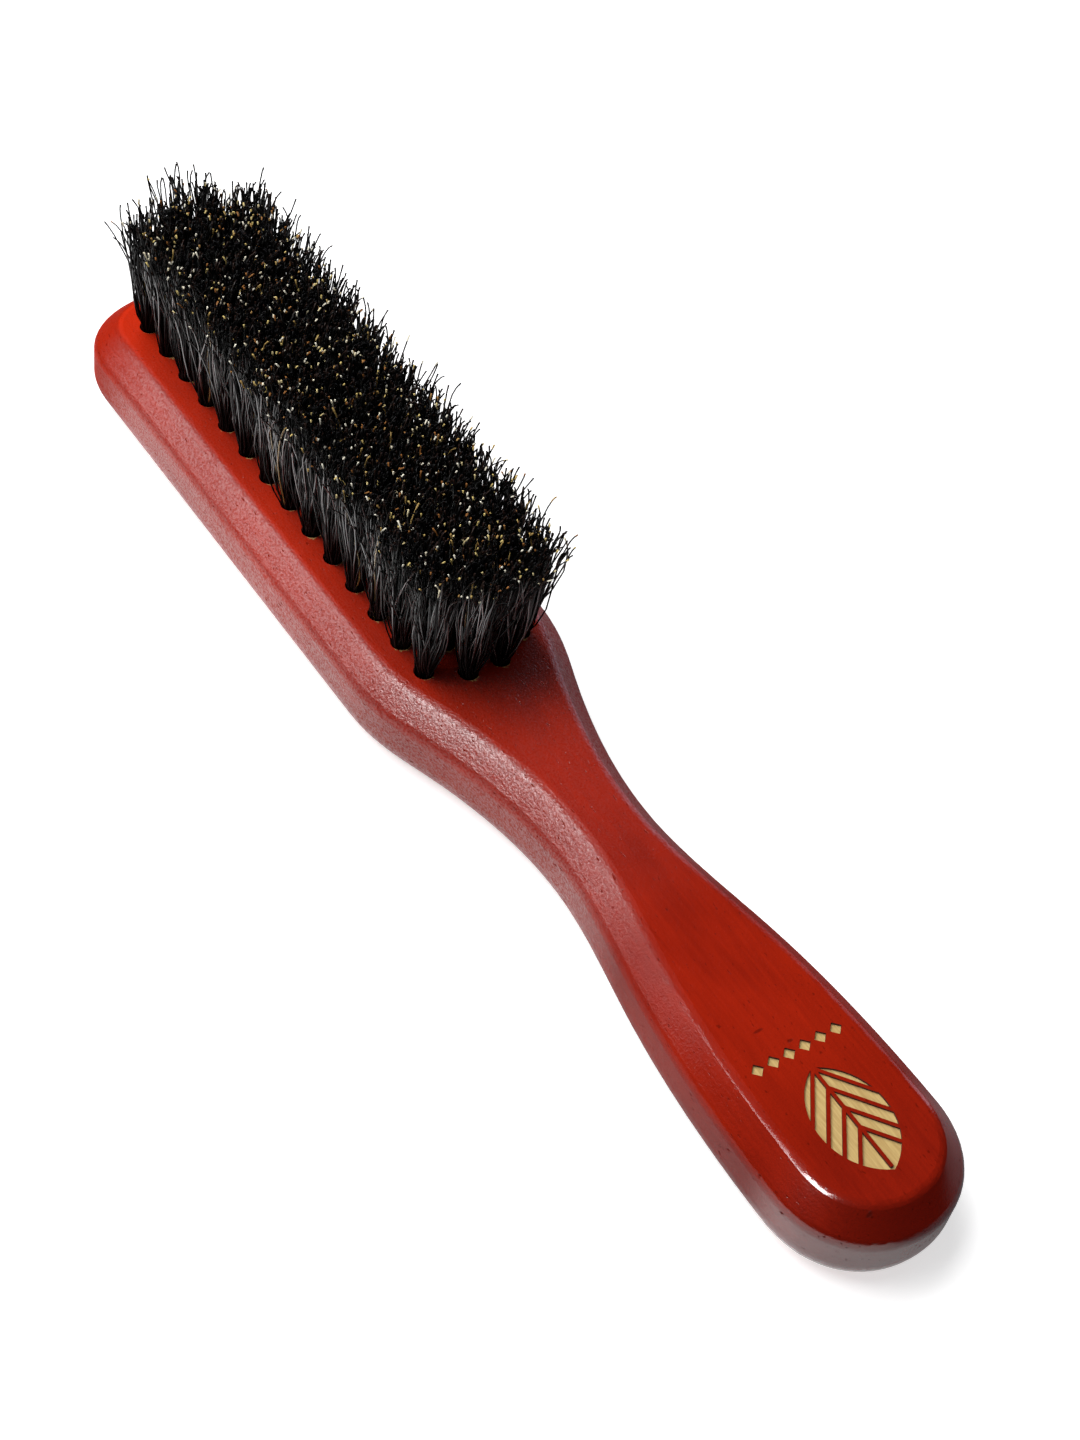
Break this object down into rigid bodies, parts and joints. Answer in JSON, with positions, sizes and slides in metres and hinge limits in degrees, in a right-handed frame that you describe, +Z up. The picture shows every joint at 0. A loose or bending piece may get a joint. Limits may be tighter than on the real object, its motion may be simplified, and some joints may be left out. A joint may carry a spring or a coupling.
{
  "type": "beard brush",
  "caption": "Lacquered red-brown wooden beard brush with a waisted flat handle and rows of dark natural-bristle tufts held by flat anchor wires in blind holes",
  "frame": {"origin": "centre of the body's outline, on its flat back face", "axes": "+X along the brush towards the handle end, +Y across the brush, +Z up from the back through the bristles"},
  "size_m": [0.174, 0.0302, 0.03],
  "materials": {
    "lacquered_wood": "red-brown stained hardwood under satin-gloss lacquer",
    "bristle": "natural black bristle with pale split tips",
    "anchor_wire": "flattened bright steel wire"
  },
  "bodies": {
    "root": {"anchor_wires": "anchor_wire", "tuft_row1_01": "bristle", "tuft_row1_02": "bristle", "tuft_row1_03": "bristle", "tuft_row1_04": "bristle", "tuft_row1_05": "bristle", "tuft_row1_06": "bristle", "tuft_row1_07": "bristle", "tuft_row1_08": "bristle", "tuft_row1_09": "bristle", "tuft_row1_10": "bristle", "tuft_row1_11": "bristle", "tuft_row1_12": "bristle", "tuft_row1_13": "bristle", "tuft_row1_14": "bristle", "tuft_row2_01": "bristle", "tuft_row2_02": "bristle", "tuft_row2_03": "bristle", "tuft_row2_04": "bristle", "tuft_row2_05": "bristle", "tuft_row2_06": "bristle", "tuft_row2_07": "bristle", "tuft_row2_08": "bristle", "tuft_row2_09": "bristle", "tuft_row2_10": "bristle", "tuft_row2_11": "bristle", "tuft_row2_12": "bristle", "tuft_row2_13": "bristle", "tuft_row2_14": "bristle", "tuft_row2_15": "bristle", "tuft_row3_01": "bristle", "tuft_row3_02": "bristle", "tuft_row3_03": "bristle", "tuft_row3_04": "bristle", "tuft_row3_05": "bristle", "tuft_row3_06": "bristle", "tuft_row3_07": "bristle", "tuft_row3_08": "bristle", "tuft_row3_09": "bristle", "tuft_row3_10": "bristle", "tuft_row3_11": "bristle", "tuft_row3_12": "bristle", "tuft_row3_13": "bristle", "tuft_row3_14": "bristle", "tuft_row3_15": "bristle", "tuft_row4_01": "bristle", "tuft_row4_02": "bristle", "tuft_row4_03": "bristle", "tuft_row4_04": "bristle", "tuft_row4_05": "bristle", "tuft_row4_06": "bristle", "tuft_row4_07": "bristle", "tuft_row4_08": "bristle", "tuft_row4_09": "bristle", "tuft_row4_10": "bristle", "tuft_row4_11": "bristle", "tuft_row4_12": "bristle", "tuft_row4_13": "bristle", "tuft_row4_14": "bristle", "wood_body": "lacquered_wood"}
  },
  "joints": []
}
